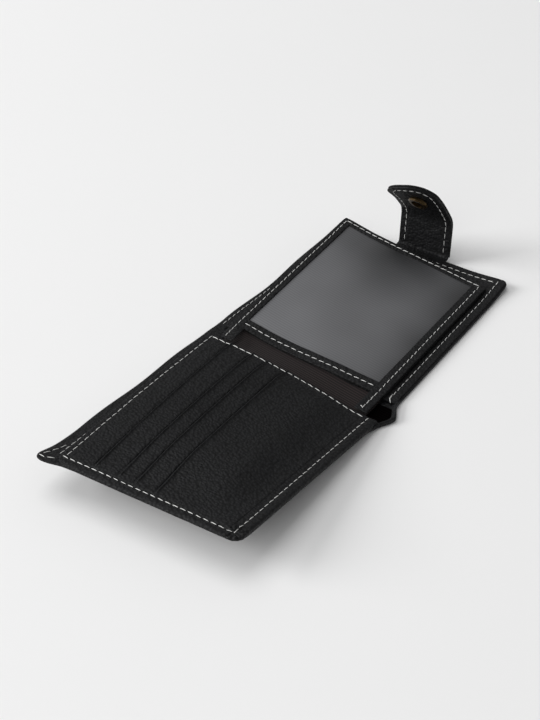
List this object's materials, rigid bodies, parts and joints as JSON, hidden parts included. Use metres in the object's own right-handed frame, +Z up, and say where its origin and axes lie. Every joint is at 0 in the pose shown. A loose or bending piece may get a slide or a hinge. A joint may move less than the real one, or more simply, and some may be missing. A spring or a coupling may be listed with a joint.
{
  "type": "leather wallet",
  "caption": "Open bifold leather wallet with stepped card pockets, a clear window flap that turns like a page, and a strap with a press snap.",
  "frame": {"origin": "centre of the rear half's flat underside, where it lies on the table", "axes": "+X from the spine towards the strap, +Y towards the mouth of the bill compartment, +Z up off the table"},
  "size_m": [0.2284, 0.094, 0.0483],
  "materials": {
    "leather": "pebbled black leather with a soft sheen",
    "lining": "ribbed dark brown lining cloth",
    "board": "plain grey-brown stiffening board",
    "film": "clear glossy window film",
    "brass": "polished golden plating",
    "thread": "white waxed sewing thread"
  },
  "bodies": {
    "rear_half": {"rear_cover": "leather", "rear_stiffener": "board", "rear_bill_lining": "lining", "rear_divider": "leather", "rear_panel": "leather", "rear_pocket": "leather", "tab_root": "leather", "rear_seam_thread": "thread", "rear_hem_thread": "thread"},
    "spine": {"spine_cover": "leather", "spine_lining": "lining"},
    "front_half": {"front_cover": "leather", "front_stiffener": "board", "front_bill_lining": "lining", "front_divider": "leather", "front_panel": "leather", "card_pocket_1": "leather", "card_pocket_2": "leather", "card_pocket_3": "leather", "card_pocket_4": "leather", "snap_stud": "brass", "snap_rivet": "brass", "front_seam_thread": "thread", "front_panel_thread": "thread", "card_panel_thread": "thread", "front_divider_thread": "thread", "front_hem_thread": "thread"},
    "id_flap": {"flap_back": "leather", "flap_lining": "lining", "window_film": "film", "flap_border": "leather", "window_strip": "leather", "flap_thread": "thread", "window_strip_thread": "thread"},
    "tab_lower": {"tab_lower_inner": "leather", "tab_lower_outer": "leather", "tab_lower_thread": "thread"},
    "tab_tip": {"tab_tip_inner": "leather", "tab_tip_outer": "leather", "tab_tip_thread": "thread", "snap_cap": "brass", "snap_socket": "brass"}
  },
  "joints": [
    {"name": "rear_crease", "type": "hinge", "parent": "rear_half", "child": "spine", "pos_m": [-0.0525, 0, 0.00195], "axis": [0, 1, 0], "range_deg": [0, 90]},
    {"name": "front_crease", "type": "hinge", "parent": "spine", "child": "front_half", "pos_m": [-0.067, 0, 0.00195], "axis": [0, 1, 0], "range_deg": [-5.7, 82]},
    {"name": "flap_hinge", "type": "hinge", "parent": "rear_half", "child": "id_flap", "pos_m": [-0.052, 0, 0.0086], "axis": [0, 1, 0], "range_deg": [-155, 0]},
    {"name": "tab_base", "type": "hinge", "parent": "rear_half", "child": "tab_lower", "pos_m": [0.0537, -0.0005, 0.00228], "axis": [0, -1, 0], "range_deg": [-84, 3]},
    {"name": "tab_crease", "type": "hinge", "parent": "tab_lower", "child": "tab_tip", "pos_m": [0.05471, -0.0005, 0.02147], "axis": [0, -1, 0], "range_deg": [-37, 53]}
  ]
}
